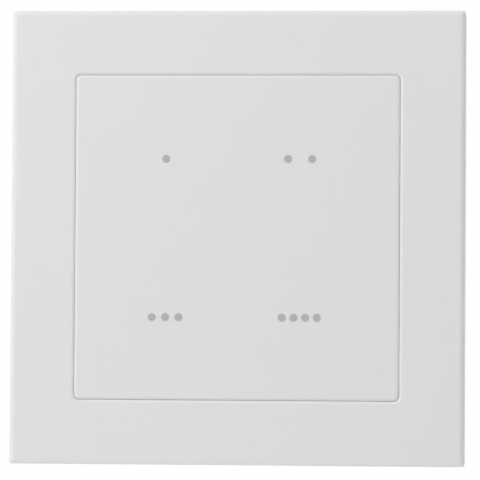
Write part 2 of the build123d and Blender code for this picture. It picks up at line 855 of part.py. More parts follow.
with BuildPart() as key_plate:
    with BuildSketch(at_depth(key_back)):
        RectangleRounded(key_width, key_width, key_corner_radius)
    extrude(amount=key_thickness)
    key_front = front_face(key_plate)
    chamfer(key_front.edges(), groove_half_width, groove_depth, reference=key_front)
    fillet(front_face(key_plate).edges(), groove_arris_radius)
    with BuildSketch(at_depth(key_back)):
        RectangleRounded(skirt_width, skirt_width, key_corner_radius - skirt_setback)
        Rectangle(skirt_width - 2 * skirt_wall, skirt_width - 2 * skirt_wall, mode=Mode.SUBTRACT)
    extrude(amount=-skirt_height)
    with BuildSketch(at_depth(key_back)):
        with PolarLocations(key_rib_start, 4):
            Rectangle(key_rib_length, key_rib_thickness, align=(Align.MIN, Align.CENTER))
    extrude(amount=-key_rib_height)
    with BuildSketch(at_depth(key_back)):
        with GridLocations(switch_spacing, switch_spacing, 2, 2):
            Circle(presser_radius)
    extrude(amount=-presser_height)
    for side in (-1, 1):
        with BuildSketch(across(falling_diagonal, side * ear_distance)):
            Circle(ear_radius)
            Rectangle(2 * ear_radius, key_back - pivot_depth, align=(Align.CENTER, Align.MIN))
            Circle(bore_radius, mode=Mode.SUBTRACT)
            with Locations((0, -ear_lip)):
                Rectangle(
                    2 * ear_radius,
                    2 * ear_radius,
                    align=(Align.CENTER, Align.MAX),
                    mode=Mode.SUBTRACT,
                )
        extrude(amount=side * ear_length)
    with BuildSketch(at_depth(total_depth)):
        with Locations(dot_places):
            Circle(dot_radius)
    extrude(amount=-dot_depth, mode=Mode.SUBTRACT)

# Zone marks: grey inlays, flush with the key
with BuildPart() as key_dots:
    with BuildSketch(at_depth(total_depth)):
        with Locations(dot_places):
            Circle(dot_radius - dot_fit)
    extrude(amount=-dot_depth)

pieces = {
    "cover_frame": cover_frame,
    "key_plate": key_plate,
    "key_dots": key_dots,
    "wall_plate": wall_plate,
    "adhesive_pads": adhesive_pads,
    "rear_housing": rear_housing,
    "front_housing": front_housing,
    "housing_screws": housing_screws,
    "circuit_board": circuit_board,
    "radio_chip": radio_chip,
    "radio_shield": radio_shield,
    "crystal": crystal,
    "chip_antenna": chip_antenna,
    "chip_parts": chip_parts,
    "cell_can": cell_can,
    "cell_gasket": cell_gasket,
    "cell_cap": cell_cap,
    "battery_clip_positive": battery_clip_positive,
    "battery_contact_negative": battery_contact_negative,
    "switch_bases": switch_bases,
    "switch_domes": switch_domes,
    "switch_covers": switch_covers,
    "switch_terminals": switch_terminals,
    "silicone_mat": silicone_mat,
    "pivot_cross": pivot_cross,
}
for number, plunger in enumerate(plungers, start=1):
    pieces[f"plunger_{number}"] = plunger

os.makedirs("parts", exist_ok=True)
for name, piece in pieces.items():
    piece.part.label = name
    export_step(piece.part, f"parts/{name}.step")
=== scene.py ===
import json
from math import atan, pi, radians

import bpy
from mathutils import Matrix, Vector

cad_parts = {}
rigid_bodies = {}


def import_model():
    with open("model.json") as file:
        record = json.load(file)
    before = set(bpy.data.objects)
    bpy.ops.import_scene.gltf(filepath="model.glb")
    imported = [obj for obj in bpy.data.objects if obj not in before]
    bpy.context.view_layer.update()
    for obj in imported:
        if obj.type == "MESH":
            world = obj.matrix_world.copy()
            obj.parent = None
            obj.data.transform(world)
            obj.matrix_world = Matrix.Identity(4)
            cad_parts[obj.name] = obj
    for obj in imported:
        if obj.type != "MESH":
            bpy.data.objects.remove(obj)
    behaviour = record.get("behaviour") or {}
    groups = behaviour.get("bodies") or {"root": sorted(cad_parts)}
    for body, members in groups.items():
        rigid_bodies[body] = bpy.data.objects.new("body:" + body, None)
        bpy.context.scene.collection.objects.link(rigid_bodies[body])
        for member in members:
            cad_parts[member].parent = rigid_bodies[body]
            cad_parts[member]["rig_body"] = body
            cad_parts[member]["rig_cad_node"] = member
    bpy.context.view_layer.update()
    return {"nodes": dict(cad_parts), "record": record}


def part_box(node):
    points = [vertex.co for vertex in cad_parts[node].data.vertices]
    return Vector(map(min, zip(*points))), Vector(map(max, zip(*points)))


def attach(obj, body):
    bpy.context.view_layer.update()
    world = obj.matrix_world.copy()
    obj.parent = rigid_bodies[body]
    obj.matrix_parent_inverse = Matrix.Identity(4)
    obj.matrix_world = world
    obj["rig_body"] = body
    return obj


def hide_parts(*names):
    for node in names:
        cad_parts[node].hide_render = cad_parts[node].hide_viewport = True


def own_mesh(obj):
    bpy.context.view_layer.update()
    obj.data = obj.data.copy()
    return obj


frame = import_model()
nodes = frame["nodes"]
mm = 0.001
print("frame loaded:", len(nodes), "nodes")


# Shader helpers

def newMaterial(name):
    material = bpy.data.materials.new(name)
    material.use_nodes = True
    tree = material.node_tree
    return material, tree, tree.nodes["Principled BSDF"]


def addNode(tree, kind, **inputs):
    node = tree.nodes.new(kind)
    for socket, value in inputs.items():
        node.inputs[socket.replace("_", " ")].default_value = value
    return node


def objectCoordinates(tree):
    return tree.nodes.new("ShaderNodeTexCoord").outputs["Object"]


def newGroup(name, inputs, outputs):
    group = bpy.data.node_groups.new(name, "ShaderNodeTree")
    for socket, kind, value in inputs:
        item = group.interface.new_socket(socket, in_out="INPUT", socket_type=kind)
        if value is not None:
            item.default_value = value
    for socket, kind in outputs:
        group.interface.new_socket(socket, in_out="OUTPUT", socket_type=kind)
    return group, group.nodes.new("NodeGroupInput"), group.nodes.new("NodeGroupOutput")


def placeGroup(tree, group, **inputs):
    node = tree.nodes.new("ShaderNodeGroup")
    node.node_tree = group
    for socket, value in inputs.items():
        node.inputs[socket].default_value = value
    return node


def addMath(tree, operation, second=None):
    node = tree.nodes.new("ShaderNodeMath")
    node.operation = operation
    if second is not None:
        node.inputs[1].default_value = second
    return node


def mixColors(tree, first, second):
    mix = tree.nodes.new("ShaderNodeMix")
    mix.data_type = "RGBA"
    mix.inputs["A"].default_value = (*first, 1)
    mix.inputs["B"].default_value = (*second, 1)
    return mix


def addBump(tree, shader, height, look):
    bump = addNode(tree, "ShaderNodeBump", Strength=look["relief"], Distance=look["depth"])
    tree.links.new(height, bump.inputs["Height"])
    tree.links.new(bump.outputs["Normal"], shader.inputs["Normal"])


# The fine grain of a spark-eroded mould, with a slow drift of tone
def makeMouldGrain():
    group, source, result = newGroup(
        "mouldGrain",
        [("Vector", "NodeSocketVector", None), ("Grain", "NodeSocketFloat", 9000.0),
         ("Drift", "NodeSocketFloat", 30.0), ("Light", "NodeSocketColor", None),
         ("Dark", "NodeSocketColor", None)],
        [("Color", "NodeSocketColor"), ("Height", "NodeSocketFloat"), ("Mask", "NodeSocketFloat")],
    )
    fine = addNode(group, "ShaderNodeTexNoise", Detail=2.0, Roughness=0.6)
    slow = addNode(group, "ShaderNodeTexNoise", Detail=2.0, Roughness=0.5)
    blend = group.nodes.new("ShaderNodeMix")
    blend.data_type = "RGBA"
    group.links.new(source.outputs["Vector"], fine.inputs["Vector"])
    group.links.new(source.outputs["Grain"], fine.inputs["Scale"])
    group.links.new(source.outputs["Vector"], slow.inputs["Vector"])
    group.links.new(source.outputs["Drift"], slow.inputs["Scale"])
    group.links.new(slow.outputs["Fac"], blend.inputs["Factor"])
    group.links.new(source.outputs["Light"], blend.inputs["A"])
    group.links.new(source.outputs["Dark"], blend.inputs["B"])
    group.links.new(blend.outputs["Result"], result.inputs["Color"])
    group.links.new(fine.outputs["Fac"], result.inputs["Height"])
    group.links.new(slow.outputs["Fac"], result.inputs["Mask"])
    return group


mouldGrain = makeMouldGrain()


# Moulded plastic and fired ceramic: each is one of these with its own values
def mouldedPlastic(name, look):
    material, tree, shader = newMaterial(name)
    grain = placeGroup(tree, mouldGrain, Grain=look["grain"], Drift=look["drift"],
                       Light=(*look["light"], 1), Dark=(*look["dark"], 1))
    tree.links.new(objectCoordinates(tree), grain.inputs["Vector"])
    tree.links.new(grain.outputs["Color"], shader.inputs["Base Color"])
    gloss = addNode(tree, "ShaderNodeMapRange", To_Min=look["roughness"] - look["patch"],
                    To_Max=look["roughness"] + look["patch"])
    tree.links.new(grain.outputs["Mask"], gloss.inputs["Value"])
    tree.links.new(gloss.outputs["Result"], shader.inputs["Roughness"])
    addBump(tree, shader, grain.outputs["Height"], look)
    shader.inputs["IOR"].default_value = look["ior"]
    shader.inputs["Subsurface Weight"].default_value = look["bleed"]
    shader.inputs["Subsurface Radius"].default_value = look["bleedRadius"]
    shader.inputs["Subsurface Scale"].default_value = look["bleedScale"]
    return material


plasticBase = {
    "grain": 9000.0, "drift": 30.0, "roughness": 0.48, "patch": 0.03, "relief": 0.18,
    "depth": 0.02 * mm, "ior": 1.5, "bleed": 0.0, "bleedRadius": (1.0, 1.0, 1.0),
    "bleedScale": 0.3 * mm,
}
plastics = {
    "frame_plastic": {"light": (0.800, 0.800, 0.800), "dark": (0.790, 0.790, 0.790), "bleed": 0.8},
    "key_plastic": {"light": (0.796, 0.796, 0.796), "dark": (0.786, 0.786, 0.786), "bleed": 0.8},
    "dot_ink": {"light": (0.47, 0.47, 0.47), "dark": (0.45, 0.45, 0.45)},
    "plate_plastic": {"light": (0.74, 0.74, 0.73), "dark": (0.70, 0.70, 0.69),
                      "roughness": 0.56, "relief": 0.35},
    "housing_plastic": {"light": (0.30, 0.31, 0.32), "dark": (0.26, 0.27, 0.28),
                        "roughness": 0.55, "relief": 0.35},
    "chip_resin": {"light": (0.022, 0.022, 0.024), "dark": (0.014, 0.014, 0.015),
                   "roughness": 0.6, "grain": 16000.0},
    "capacitor_clay": {"light": (0.30, 0.20, 0.12), "dark": (0.24, 0.16, 0.10), "roughness": 0.4},
    "gasket_plastic": {"light": (0.05, 0.05, 0.055), "dark": (0.035, 0.035, 0.04),
                       "roughness": 0.5},
    "pivot_plastic": {"light": (0.72, 0.71, 0.66), "dark": (0.66, 0.65, 0.60),
                      "roughness": 0.35, "bleed": 0.3},
    "antenna_ceramic": {"light": (0.66, 0.65, 0.58), "dark": (0.60, 0.59, 0.52),
                        "roughness": 0.25, "relief": 0.08},
}
finishes = {name: mouldedPlastic(name, {**plasticBase, **look}) for name, look in plastics.items()}


# Drawn or rolled metal: fine lines along one axis, with dull and bright patches
lineStretch = 0.04


def makeRolledLines():
    group, source, result = newGroup(
        "rolledLines",
        [("Vector", "NodeSocketVector", None), ("Lines", "NodeSocketFloat", 4000.0),
         ("Patches", "NodeSocketFloat", 250.0), ("Dull", "NodeSocketFloat", 0.4),
         ("Bright", "NodeSocketFloat", 0.2)],
        [("Height", "NodeSocketFloat"), ("Roughness", "NodeSocketFloat"), ("Mask", "NodeSocketFloat")],
    )
    stretch = group.nodes.new("ShaderNodeMapping")
    stretch.inputs["Scale"].default_value = (lineStretch, 1.0, 1.0)
    lines = addNode(group, "ShaderNodeTexNoise", Detail=3.0, Roughness=0.7)
    patches = addNode(group, "ShaderNodeTexNoise", Detail=3.0, Roughness=0.6)
    level = group.nodes.new("ShaderNodeMapRange")
    group.links.new(source.outputs["Vector"], stretch.inputs["Vector"])
    group.links.new(stretch.outputs["Vector"], lines.inputs["Vector"])
    group.links.new(source.outputs["Lines"], lines.inputs["Scale"])
    group.links.new(source.outputs["Vector"], patches.inputs["Vector"])
    group.links.new(source.outputs["Patches"], patches.inputs["Scale"])
    group.links.new(patches.outputs["Fac"], level.inputs["Value"])
    group.links.new(source.outputs["Bright"], level.inputs["To Min"])
    group.links.new(source.outputs["Dull"], level.inputs["To Max"])
    group.links.new(lines.outputs["Fac"], result.inputs["Height"])
    group.links.new(level.outputs["Result"], result.inputs["Roughness"])
    group.links.new(patches.outputs["Fac"], result.inputs["Mask"])
    return group


rolledLines = makeRolledLines()


def rolledMetal(name, look):
    material, tree, shader = newMaterial(name)
    lines = placeGroup(tree, rolledLines, Lines=look["lines"], Patches=look["patches"],
                       Dull=look["dull"], Bright=look["bright"])
    tree.links.new(objectCoordinates(tree), lines.inputs["Vector"])
    tint = mixColors(tree, look["light"], look["dark"])
    tree.links.new(lines.outputs["Mask"], tint.inputs["Factor"])
    tree.links.new(tint.outputs["Result"], shader.inputs["Base Color"])
    tree.links.new(lines.outputs["Roughness"], shader.inputs["Roughness"])
    addBump(tree, shader, lines.outputs["Height"], look)
    shader.inputs["Metallic"].default_value = 1.0
    return material


metalBase = {
    "lines": 4000.0, "patches": 250.0, "dull": 0.42, "bright": 0.22, "relief": 0.25, "depth": 0.01 * mm,
}
metals = {
    "screw_steel": {"light": (0.62, 0.63, 0.66), "dark": (0.48, 0.49, 0.52)},
    "shield_tin": {"light": (0.74, 0.73, 0.70), "dark": (0.60, 0.59, 0.57), "dull": 0.5, "bright": 0.3},
    "cell_steel": {"light": (0.70, 0.69, 0.68), "dark": (0.60, 0.59, 0.58), "bright": 0.16, "dull": 0.32},
    "contact_metal": {"light": (0.78, 0.75, 0.68), "dark": (0.66, 0.63, 0.57), "bright": 0.14, "dull": 0.3},
    "solder": {"light": (0.66, 0.66, 0.67), "dark": (0.52, 0.52, 0.54), "lines": 900.0, "relief": 0.1},
}
finishes.update({name: rolledMetal(name, {**metalBase, **look}) for name, look in metals.items()})


# Circuit board: solder resist over glass cloth, with copper tracks showing through as lighter bands
def boardLaminate():
    look = {
        "resist": (0.010, 0.085, 0.035), "track": (0.022, 0.150, 0.060), "weave": 1400.0,
        "tracks": 520.0, "field": 90.0, "fieldSplit": 0.5, "trackWidth": 0.62, "weaveHeight": 0.15,
        "relief": 0.5, "depth": 0.03 * mm, "roughness": 0.32,
    }
    material, tree, shader = newMaterial("board_laminate")
    place = objectCoordinates(tree)
    bands = {}
    for axis in ("X", "Z"):
        wave = addNode(tree, "ShaderNodeTexWave", Scale=look["tracks"], Distortion=0.0)
        wave.bands_direction = axis
        tree.links.new(place, wave.inputs["Vector"])
        bands[axis] = wave
    field = addNode(tree, "ShaderNodeTexVoronoi", Scale=look["field"])
    field.distance = "CHEBYCHEV"
    tree.links.new(place, field.inputs["Vector"])
    choice = addMath(tree, "GREATER_THAN", look["fieldSplit"])
    tree.links.new(field.outputs["Color"], choice.inputs[0])
    direction = tree.nodes.new("ShaderNodeMix")
    tree.links.new(choice.outputs[0], direction.inputs["Factor"])
    tree.links.new(bands["X"].outputs["Fac"], direction.inputs["A"])
    tree.links.new(bands["Z"].outputs["Fac"], direction.inputs["B"])
    track = addMath(tree, "GREATER_THAN", look["trackWidth"])
    tree.links.new(direction.outputs["Result"], track.inputs[0])
    tint = mixColors(tree, look["resist"], look["track"])
    tree.links.new(track.outputs[0], tint.inputs["Factor"])
    tree.links.new(tint.outputs["Result"], shader.inputs["Base Color"])
    weave = addNode(tree, "ShaderNodeTexChecker", Scale=look["weave"])
    tree.links.new(place, weave.inputs["Vector"])
    relief = addMath(tree, "MULTIPLY_ADD", look["weaveHeight"])
    tree.links.new(weave.outputs["Fac"], relief.inputs[0])
    tree.links.new(track.outputs[0], relief.inputs[2])
    addBump(tree, shader, relief.outputs[0], look)
    shader.inputs["Roughness"].default_value = look["roughness"]
    return material


# Foam, liner paper and silicone share one cell pattern, deep for foam and faint for the others
def softMaterial(name, look):
    material, tree, shader = newMaterial(name)
    grain = placeGroup(tree, mouldGrain, Grain=look["grain"], Drift=look["drift"],
                       Light=(*look["light"], 1), Dark=(*look["dark"], 1))
    place = objectCoordinates(tree)
    cells = addNode(tree, "ShaderNodeTexVoronoi", Scale=look["cells"])
    tree.links.new(place, grain.inputs["Vector"])
    tree.links.new(place, cells.inputs["Vector"])
    shade = tree.nodes.new("ShaderNodeMix")
    shade.data_type = "RGBA"
    shade.blend_type = "MULTIPLY"
    shade.inputs["Factor"].default_value = look["pores"]
    tree.links.new(grain.outputs["Color"], shade.inputs["A"])
    tree.links.new(cells.outputs["Distance"], shade.inputs["B"])
    tree.links.new(shade.outputs["Result"], shader.inputs["Base Color"])
    addBump(tree, shader, cells.outputs["Distance"], look)
    shader.inputs["Roughness"].default_value = look["roughness"]
    shader.inputs["Subsurface Weight"].default_value = look["bleed"]
    shader.inputs["Subsurface Scale"].default_value = look["bleedScale"]
    return material


softBase = {"depth": 0.05 * mm, "bleedScale": 1.0 * mm}
softs = {
    "pad_foam": {"light": (0.62, 0.62, 0.60), "dark": (0.54, 0.54, 0.52), "grain": 3000.0, "drift": 80.0,
                 "cells": 3500.0, "pores": 0.35, "relief": 0.6, "roughness": 0.9, "bleed": 0.1},
    "pad_liner": {"light": (0.80, 0.76, 0.60), "dark": (0.74, 0.70, 0.54), "grain": 2500.0, "drift": 60.0,
                  "cells": 6000.0, "pores": 0.05, "relief": 0.08, "roughness": 0.4, "bleed": 0.0},
    "mat_silicone": {"light": (0.58, 0.59, 0.59), "dark": (0.52, 0.53, 0.54), "grain": 2500.0, "drift": 60.0,
                     "cells": 5000.0, "pores": 0.04, "relief": 0.06, "roughness": 0.42, "bleed": 0.5},
}
finishes.update({name: softMaterial(name, {**softBase, **look}) for name, look in softs.items()})
finishes["board_laminate"] = boardLaminate()
print("materials ready:", len(finishes))

slotOf = {subpart["node"]: subpart["material_slot"] for subpart in frame["record"]["subparts"]}
for name, node in nodes.items():
    node.data.materials.clear()
    node.data.materials.append(finishes[slotOf[name]])


# Modelling helpers. A face faces an axis when its normal points along it by more than facing
facing = 0.9
weld = {"distance": 0.0005 * mm, "flatAngle": radians(1)}
corners = [(sideX, sideZ) for sideX in (-1, 1) for sideZ in (-1, 1)]


def setMode(mode):
    if bpy.context.object and bpy.context.object.mode != mode:
        bpy.ops.object.mode_set(mode=mode)


def onlySelect(*pieces):
    setMode("OBJECT")
    bpy.ops.object.select_all(action="DESELECT")
    for piece in pieces:
        piece.select_set(True)
    bpy.context.view_layer.objects.active = pieces[0]


def selectFaces(piece, wanted):
    onlySelect(piece)
    setMode("EDIT")
    bpy.ops.mesh.select_mode(type="FACE")
    bpy.ops.mesh.select_all(action="DESELECT")
    setMode("OBJECT")
    for face in piece.data.polygons:
        face.select = wanted(face)
    setMode("EDIT")


def editAll(piece):
    onlySelect(piece)
    setMode("EDIT")
    bpy.ops.mesh.select_all(action="SELECT")


def applyPlace(piece):
    onlySelect(piece)
    bpy.ops.object.transform_apply(location=True, rotation=True, scale=True)


def addBlock(place, size):
    bpy.ops.mesh.primitive_cube_add(size=1, location=place)
    block = bpy.context.object
    block.scale = size
    applyPlace(block)
    return block


def addCylinder(sides, radius, depth, place):
    bpy.ops.mesh.primitive_cylinder_add(
        vertices=sides, radius=radius, depth=depth, location=place, rotation=(pi / 2, 0, 0)
    )
    cylinder = bpy.context.object
    applyPlace(cylinder)
    return cylinder


def addModifier(piece, kind, **settings):
    onlySelect(piece)
    modifier = piece.modifiers.new(kind.title(), kind)
    for name, value in settings.items():
        setattr(modifier, name, value)
    bpy.ops.object.modifier_apply(modifier=modifier.name)


def smoothFaces(piece, angle=35):
    onlySelect(piece)
    bpy.ops.object.shade_smooth_by_angle(angle=radians(angle))


def softenEdges(piece, width, segments=2, angle=30):
    limits = {"limit_method": "ANGLE", "angle_limit": radians(angle)}
    addModifier(piece, "BEVEL", width=width, segments=segments, **limits)
    smoothFaces(piece)


def cutAway(piece, cutter):
    addModifier(piece, "BOOLEAN", operation="DIFFERENCE", object=cutter)
    bpy.data.objects.remove(cutter)


def copyAt(piece, offset):
    twin = piece.copy()
    twin.data = piece.data.copy()
    twin.data.transform(Matrix.Translation(offset))
    bpy.context.collection.objects.link(twin)
    return twin


def joinPieces(pieces, name):
    onlySelect(*pieces)
    if len(pieces) > 1:
        bpy.ops.object.join()
    joined = bpy.context.object
    joined.name = name
    joined.data.name = name
    return joined


def copyNode(name, pieceName):
    piece = nodes[name].copy()
    piece.data = nodes[name].data.copy()
    piece.parent = None
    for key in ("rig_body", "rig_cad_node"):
        del piece[key]
    bpy.context.collection.objects.link(piece)
    piece.name = pieceName
    editAll(piece)
    bpy.ops.mesh.remove_doubles(threshold=weld["distance"])
    bpy.ops.mesh.dissolve_limited(angle_limit=weld["flatAngle"])
    setMode("OBJECT")
    return piece


def fitPiece(piece, body, slot, *materials):
    if materials:
        piece.data.materials.clear()
        for material in materials:
            piece.data.materials.append(finishes[material])
    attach(piece, body)


# Housing screws: pan heads with a cross recess, and a rolled thread on the shank
screw = {
    "headRadius": 1.9 * mm, "headHeight": 1.2 * mm, "headRound": 0.5 * mm, "headSides": 40,
    "coreRadius": 0.76 * mm, "coreSides": 24, "threadRadius": 0.99 * mm, "pitch": 0.7 * mm,
    "threadFlat": 0.62, "threadSteps": 20, "tip": 0.35 * mm, "recessWidth": 0.55 * mm,
    "recessLength": 2.3 * mm, "recessDepth": 0.8 * mm, "recessTaper": 0.55,
}
low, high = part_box("housing_screws")
screwX = high.x - screw["headRadius"]
screwZ = high.z - screw["headRadius"]
headFront = high.y - screw["headHeight"]
shankLength = headFront - low.y


def modelScrew():
    headMiddle = (screwX, high.y - screw["headHeight"] / 2, screwZ)
    head = addCylinder(screw["headSides"], screw["headRadius"], screw["headHeight"], headMiddle)
    selectFaces(head, lambda face: face.normal.y > facing)
    bpy.ops.mesh.bevel(offset=screw["headRound"], segments=5, affect="EDGES")
    setMode("OBJECT")
    for size in (
        (screw["recessLength"], 2 * screw["recessDepth"], screw["recessWidth"]),
        (screw["recessWidth"], 2 * screw["recessDepth"], screw["recessLength"]),
    ):
        cutter = addBlock((screwX, high.y, screwZ), size)
        selectFaces(cutter, lambda face: face.normal.y < -facing)
        bpy.ops.transform.resize(value=(screw["recessTaper"], 1, screw["recessTaper"]))
        setMode("OBJECT")
        cutAway(head, cutter)
    smoothFaces(head)
    shankMiddle = (screwX, headFront - shankLength / 2, screwZ)
    shank = addCylinder(screw["coreSides"], screw["coreRadius"], shankLength, shankMiddle)
    selectFaces(shank, lambda face: face.normal.y < -facing)
    bpy.ops.mesh.bevel(offset=screw["tip"], segments=1, affect="EDGES")
    setMode("OBJECT")
    smoothFaces(shank)
    ridge = screw["threadRadius"] - screw["coreRadius"]
    turns = int((shankLength - screw["tip"] - screw["pitch"]) / screw["pitch"])
    bpy.ops.mesh.primitive_circle_add(
        vertices=3, radius=ridge, location=(screw["coreRadius"], 0, 0), rotation=(0, 0, -pi / 2)
    )
    thread = bpy.context.object
    applyPlace(thread)
    editAll(thread)
    flatten = (1, screw["threadFlat"], 1)
    bpy.ops.transform.resize(value=flatten, center_override=(screw["coreRadius"], 0, 0))
    setMode("OBJECT")
    addModifier(thread, "SCREW", axis="Y", screw_offset=screw["pitch"], iterations=turns,
                steps=screw["threadSteps"], render_steps=screw["threadSteps"])
    setMode("EDIT")
    bpy.ops.mesh.select_all(action="DESELECT")
    bpy.ops.mesh.select_mode(type="VERT")
    bpy.ops.mesh.select_non_manifold()
    bpy.ops.mesh.fill()
    bpy.ops.mesh.select_all(action="SELECT")
    bpy.ops.mesh.normals_make_consistent(inside=False)
    setMode("OBJECT")
    start = low.y + screw["tip"] + ridge
    thread.data.transform(Matrix.Translation((screwX, start, screwZ)))
    return joinPieces([head, shank, thread], "screwTopRight")


firstScrew = modelScrew()
screws = [firstScrew]
for name, sideX, sideZ in (("screwTopLeft", 1, 0), ("screwLowRight", 0, 1), ("screwLowLeft", 1, 1)):
    twin = copyAt(firstScrew, (-2 * screwX * sideX, 0, -2 * screwZ * sideZ))
    twin.name = name
    screws.append(twin)
for piece in screws:
    fitPiece(piece, "wall_unit", "screw_steel", "screw_steel")
    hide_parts("housing_screws")
print("screws ready")

# Foam pads: two slabs with pores, under a paper liner with a slit off its middle for peeling
pad = {
    "liner": 0.1 * mm, "bulge": 0.12 * mm, "edge": 0.25 * mm, "slit": 0.25 * mm, "slitShare": 0.72,
}
low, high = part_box("adhesive_pads")
padHeight = high.z - min(v.co.z for v in nodes["adhesive_pads"].data.vertices if v.co.z > 0)
padMiddle = high.z - padHeight / 2
padLength = high.x - low.x
for side, name in ((1, "Top"), (-1, "Low")):
    foamSize = (padLength - 2 * pad["bulge"], -low.y - pad["liner"], padHeight - 2 * pad["bulge"])
    foam = addBlock((0, (low.y - pad["liner"]) / 2, side * padMiddle), foamSize)
    softenEdges(foam, pad["edge"], segments=3)
    foam.name = "foamPad" + name
    fitPiece(foam, "wall_unit", "pad_foam", "pad_foam")
    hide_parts("adhesive_pads")
    linerY = -pad["liner"] / 2
    liner = addBlock((0, linerY, side * padMiddle), (padLength, pad["liner"], padHeight))
    slitPlace = (padLength * (pad["slitShare"] - 0.5), linerY, side * padMiddle)
    slit = addBlock(slitPlace, (pad["slit"], 2 * pad["liner"], 2 * padHeight))
    cutAway(liner, slit)
    liner.name = "padLiner" + name
    fitPiece(liner, "wall_unit", "pad_foam", "pad_liner")
print("pads ready")

# Silicone mat: the moulding with its edges rounded as a mould leaves them
matEdge = {"width": 0.12 * mm, "segments": 2, "angle": 25}
mat = copyNode("silicone_mat", "softMat")
softenEdges(mat, **matEdge)
fitPiece(mat, "wall_unit", "mat_silicone", "mat_silicone")
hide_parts("silicone_mat")
print("mat ready")

# Small soldered parts: capacitors and resistors, each a body between two tinned ends
chips = {
    "columns": 8, "rows": 3, "length": 1.6 * mm, "width": 0.8 * mm, "height": 0.6 * mm,
    "lowHeight": 0.42 * mm, "end": 0.35 * mm, "step": 0.04 * mm, "edge": 0.03 * mm, "seam": 0.001 * mm,
    "resistorEach": 3,
}
low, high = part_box("chip_parts")


def modelChip(name, bodyMaterial, height):
    innerHeight = height - 2 * chips["step"]
    innerWidth = chips["width"] - 2 * chips["step"]
    chip = addBlock((0, 0, 0), (chips["length"] - 2 * chips["end"], innerHeight, innerWidth))
    chip.data.materials.append(finishes[bodyMaterial])
    chip.data.materials.append(finishes["solder"])
    flare = (1, height / innerHeight, chips["width"] / innerWidth)
    for side in (-1, 1):
        selectFaces(chip, lambda face: face.normal.x * side > facing)
        bpy.ops.mesh.extrude_region_move(TRANSFORM_OT_translate={"value": (0, 0, 0)})
        bpy.ops.transform.resize(value=flare)
        bpy.ops.mesh.extrude_region_move(TRANSFORM_OT_translate={"value": (side * chips["end"], 0, 0)})
        setMode("OBJECT")
    endStart = chips["length"] / 2 - chips["end"] - chips["seam"]
    for face in chip.data.polygons:
        if abs(face.center.x) > endStart:
            face.material_index = 1
    softenEdges(chip, chips["edge"])
    editAll(chip)
    bpy.ops.mesh.dissolve_degenerate(threshold=chips["seam"])
    setMode("OBJECT")
    chip.name = name
    return chip


capacitor = modelChip("capacitor", "capacitor_clay", chips["height"])
resistor = modelChip("resistor", "chip_resin", chips["lowHeight"])
pitchX = (high.x - low.x - chips["length"]) / (chips["columns"] - 1)
pitchZ = (high.z - low.z - chips["width"]) / (chips["rows"] - 1)
soldered = []
for column in range(chips["columns"]):
    for row in range(chips["rows"]):
        model = resistor if (column + row) % chips["resistorEach"] == 0 else capacitor
        tall = model.dimensions.y
        place = (
            low.x + chips["length"] / 2 + column * pitchX,
            low.y + tall / 2,
            low.z + chips["width"] / 2 + row * pitchZ,
        )
        soldered.append(copyAt(model, place))
bpy.data.objects.remove(capacitor)
bpy.data.objects.remove(resistor)
chipParts = joinPieces(soldered, "solderedParts")
fitPiece(chipParts, "wall_unit", "chip_resin")
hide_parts("chip_parts")
print("soldered parts ready")

# Radio shield: a tinned can with a field of vent holes
shield = {
    "holeRadius": 0.45 * mm, "holeDepth": 1.0 * mm, "holeSides": 16, "columns": 6, "rows": 5,
    "pitch": 1.9 * mm,
}
low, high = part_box("radio_shield")
can = copyNode("radio_shield", "shieldCan")
holes = []
for column in range(shield["columns"]):
    for row in range(shield["rows"]):
        place = (
            (low.x + high.x) / 2 + (column - (shield["columns"] - 1) / 2) * shield["pitch"],
            high.y,
            (low.z + high.z) / 2 + (row - (shield["rows"] - 1) / 2) * shield["pitch"],
        )
        holes.append(addCylinder(shield["holeSides"], shield["holeRadius"], shield["holeDepth"], place))
cutter = joinPieces(holes, "shieldHoles")
cutAway(can, cutter)
fitPiece(can, "wall_unit", "shield_tin", "shield_tin")
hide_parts("radio_shield")
print("shield ready")

# Under the shield: the radio chip's soldered lands, a row along each side
lands = {
    "perSide": 8, "pitch": 0.5 * mm, "length": 0.35 * mm, "width": 0.24 * mm, "height": 0.12 * mm,
    "edge": 0.03 * mm,
}
low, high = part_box("radio_chip")
chipMiddle = (low + high) / 2
land = addBlock((0, 0, 0), (lands["length"], lands["height"], lands["width"]))
softenEdges(land, lands["edge"], segments=1)
landRows = []
out = (high.x - low.x) / 2 + lands["length"] / 2
foot = Matrix.Translation((chipMiddle.x, low.y + lands["height"] / 2, chipMiddle.z))
for quarter in range(4):
    for place in range(lands["perSide"]):
        along = (place - (lands["perSide"] - 1) / 2) * lands["pitch"]
        spot = Matrix.Rotation(quarter * pi / 2, 4, "Y") @ Matrix.Translation((out, 0, along))
        twin = copyAt(land, (0, 0, 0))
        twin.data.transform(foot @ spot)
        landRows.append(twin)
bpy.data.objects.remove(land)
chipLands = joinPieces(landRows, "chipLands")
fitPiece(chipLands, "wall_unit", "shield_tin", "solder")
print("chip lands ready")

# Antenna: a fired metal cap at each end of the ceramic block
antenna = {"cap": 0.9 * mm, "skin": 0.03 * mm, "edge": 0.08 * mm}
low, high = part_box("chip_antenna")
for side, name in ((-1, "Left"), (1, "Right")):
    outer = low.x if side < 0 else high.x
    place = (
        outer - side * antenna["cap"] / 2,
        (low.y + high.y) / 2 + antenna["skin"] / 2,
        (low.z + high.z) / 2,
    )
    size = (
        antenna["cap"] + 2 * antenna["skin"],
        high.y - low.y + antenna["skin"],
        high.z - low.z + 2 * antenna["skin"],
    )
    cap = addBlock(place, size)
    softenEdges(cap, antenna["edge"])
    cap.name = "antennaCap" + name
    fitPiece(cap, "wall_unit", "shield_tin", "solder")
print("antenna caps ready")

